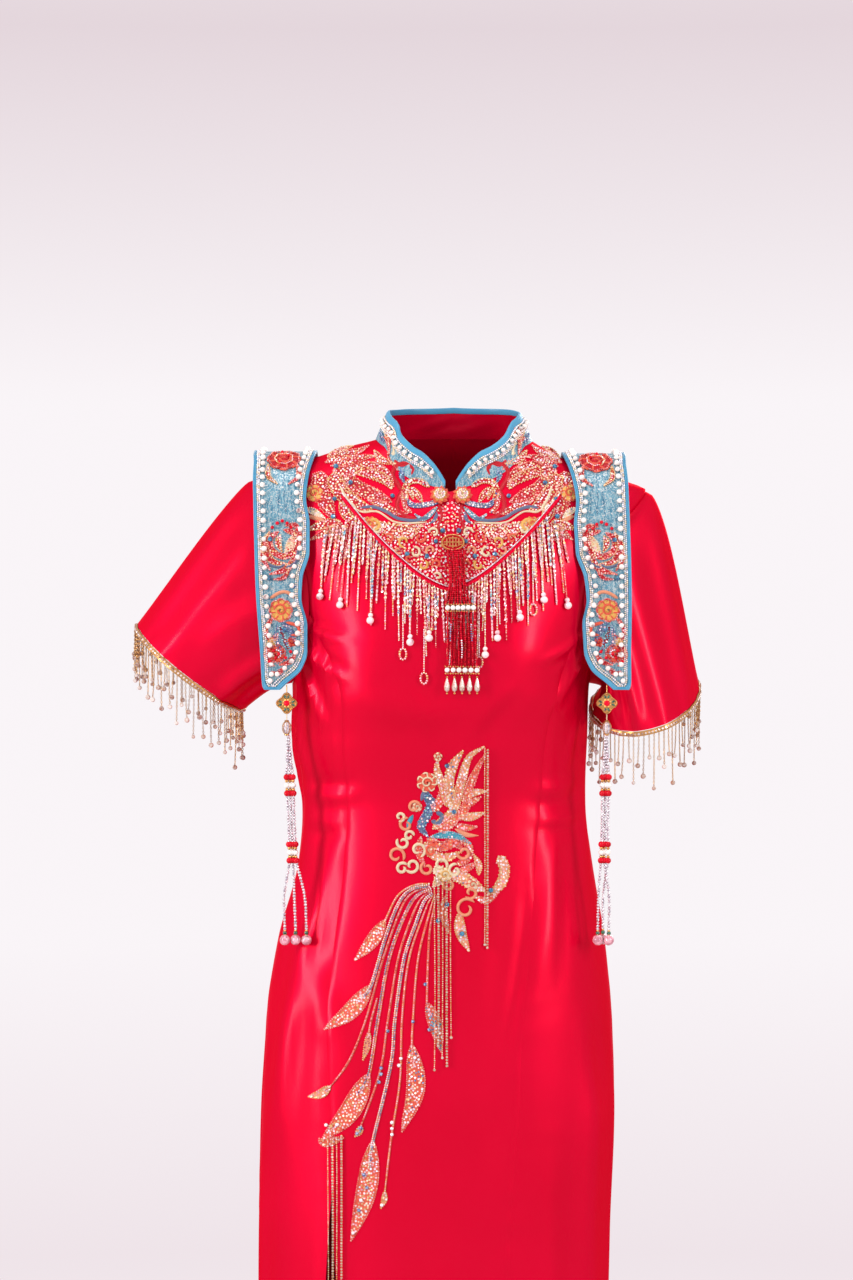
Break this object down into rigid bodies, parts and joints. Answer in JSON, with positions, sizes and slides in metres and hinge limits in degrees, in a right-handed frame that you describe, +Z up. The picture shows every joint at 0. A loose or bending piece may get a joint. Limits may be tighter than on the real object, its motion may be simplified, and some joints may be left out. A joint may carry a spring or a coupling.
{
  "type": "qipao-cut wedding dress",
  "caption": "Long fitted dress with a stand collar, short flared sleeves, beaded shoulder panels, an embroidered yoke with bead fringe and a side-front slit.",
  "frame": {"origin": "middle of the neck, level with the highest points of the shoulders, where the wearer holds the dress up", "axes": "+Z up, the front faces -Y, +X towards the wearer's left hand"},
  "size_m": [0.5882, 0.2554, 1.3841],
  "materials": {
    "red_satin": "satin",
    "blue_brocade": "glittering brocade",
    "blue_satin": "satin",
    "embroidery": "sequins, beads and cord stitched on",
    "pink_beads": "cut glass beads",
    "gold": "polished",
    "red_beads": "glass beads",
    "pearl": "imitation pearl",
    "crystal": "cut crystal"
  },
  "bodies": {
    "root": {"front_centre": "red_satin", "front_side_right": "red_satin", "back_right": "red_satin", "sleeve_right": "red_satin", "yoke_cord_right": "red_satin", "shoulder_panel_right": "blue_brocade", "shoulder_binding_right": "blue_satin", "yoke_right": "embroidery", "neck_rosette_right": "embroidery", "yoke_fringe_right": "pink_beads", "sleeve_trim_right": "gold", "sleeve_fringe_right": "gold", "medallion_right": "gold", "lantern_right": "crystal", "strands_right": "crystal", "end_ball_right_1": "pearl", "end_ball_right_2": "pearl", "end_ball_right_3": "pearl", "front_side_left": "red_satin", "back_left": "red_satin", "sleeve_left": "red_satin", "yoke_cord_left": "red_satin", "shoulder_panel_left": "blue_brocade", "shoulder_binding_left": "blue_satin", "yoke_left": "embroidery", "neck_rosette_left": "embroidery", "yoke_fringe_left": "pink_beads", "sleeve_trim_left": "gold", "sleeve_fringe_left": "gold", "medallion_left": "gold", "lantern_left": "crystal", "strands_left": "crystal", "end_ball_left_1": "pearl", "end_ball_left_2": "pearl", "end_ball_left_3": "pearl", "collar": "blue_brocade", "collar_binding": "blue_satin", "tassel_plaque": "gold", "tassel_upper": "red_beads", "tassel_lower": "red_beads", "tassel_pearls_upper": "pearl", "tassel_pearls_lower": "pearl", "tassel_drop_1": "crystal", "tassel_drop_2": "crystal", "tassel_drop_3": "crystal", "tassel_drop_4": "crystal", "tassel_drop_5": "crystal", "phoenix": "embroidery", "chains_right": "gold", "chains_centre": "gold", "chains_lower": "gold"}
  },
  "joints": []
}
